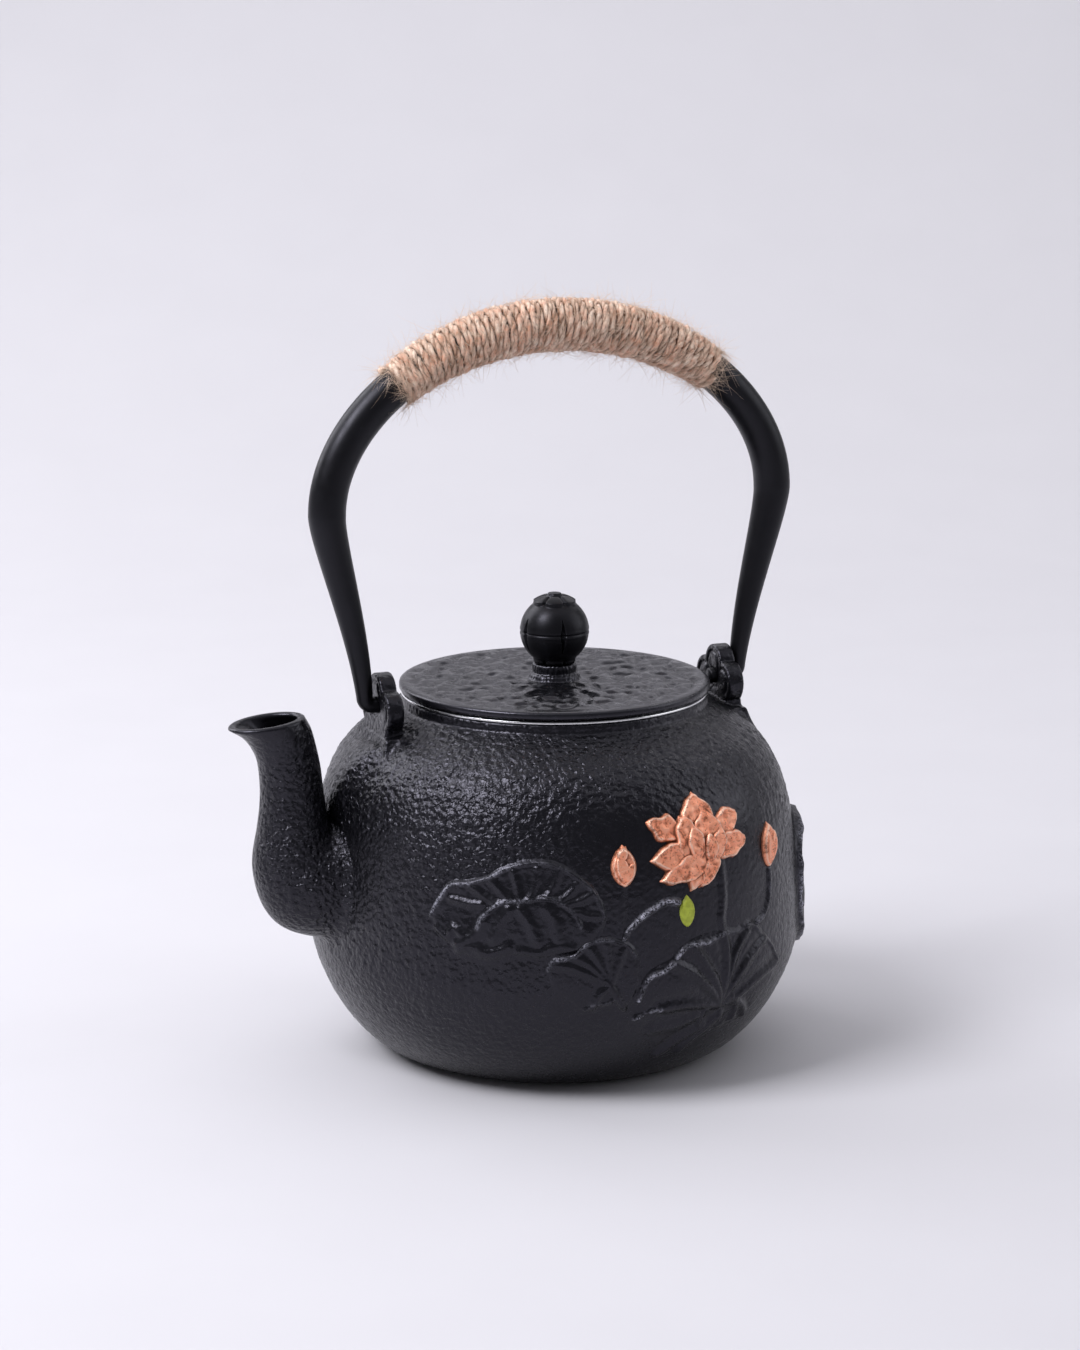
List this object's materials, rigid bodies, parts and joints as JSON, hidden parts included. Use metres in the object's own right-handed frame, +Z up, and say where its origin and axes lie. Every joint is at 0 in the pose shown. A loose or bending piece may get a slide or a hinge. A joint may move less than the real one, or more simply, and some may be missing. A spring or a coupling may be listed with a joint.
{
  "type": "teapot infuser",
  "caption": "Cast-iron teapot with curved spout, flat hammered lid with ball knob, lift-out mesh infuser and swinging jute-wrapped bail handle.",
  "frame": {"origin": "centre of the flat base, on the axis of the pot's body", "axes": "+Z up along the body's axis, spout towards -X, bail handle in the XZ plane at rest, hinge axis along X"},
  "size_m": [0.1937, 0.1611, 0.2449],
  "materials": {
    "cast_iron": "grained matt black enamel over cast iron",
    "satin_iron": "smooth satin black iron",
    "stainless_steel": "pressed and woven stainless steel",
    "copper_leaf": "aged copper leaf with dark specks",
    "green_paint": "matt green enamel",
    "jute_twine": "twisted natural jute twine"
  },
  "bodies": {
    "pot": {"vessel": "cast_iron", "spout": "cast_iron", "spout_side_lug": "cast_iron", "rear_lug": "cast_iron", "leaf_round": "cast_iron", "leaf_small": "cast_iron", "leaf_fan": "cast_iron", "leaf_side": "cast_iron", "lotus_flower": "copper_leaf", "lotus_bud_front": "copper_leaf", "lotus_bud_side": "copper_leaf", "green_sepal": "green_paint"},
    "infuser": {"infuser_rim": "stainless_steel", "infuser_wall": "stainless_steel", "infuser_base_band": "stainless_steel", "infuser_base_mesh": "stainless_steel"},
    "lid": {"lid_plate": "cast_iron", "lid_knob": "satin_iron", "knob_screw": "stainless_steel", "knob_washer": "stainless_steel"},
    "handle": {"handle_bail": "satin_iron", "jute_wrap": "jute_twine"}
  },
  "joints": [
    {"name": "handle_swing", "type": "hinge", "parent": "pot", "child": "handle", "pos_m": [0, 0, 0.1173], "axis": [1, 0, 0], "range_deg": [-118, 118]},
    {"name": "infuser_lift", "type": "slide", "parent": "pot", "child": "infuser", "axis": [0, 0, 1], "range_m": [0, 0.07]},
    {"name": "lid_lift", "type": "slide", "parent": "infuser", "child": "lid", "axis": [0, 0, 1], "range_m": [0, 0.07]}
  ]
}
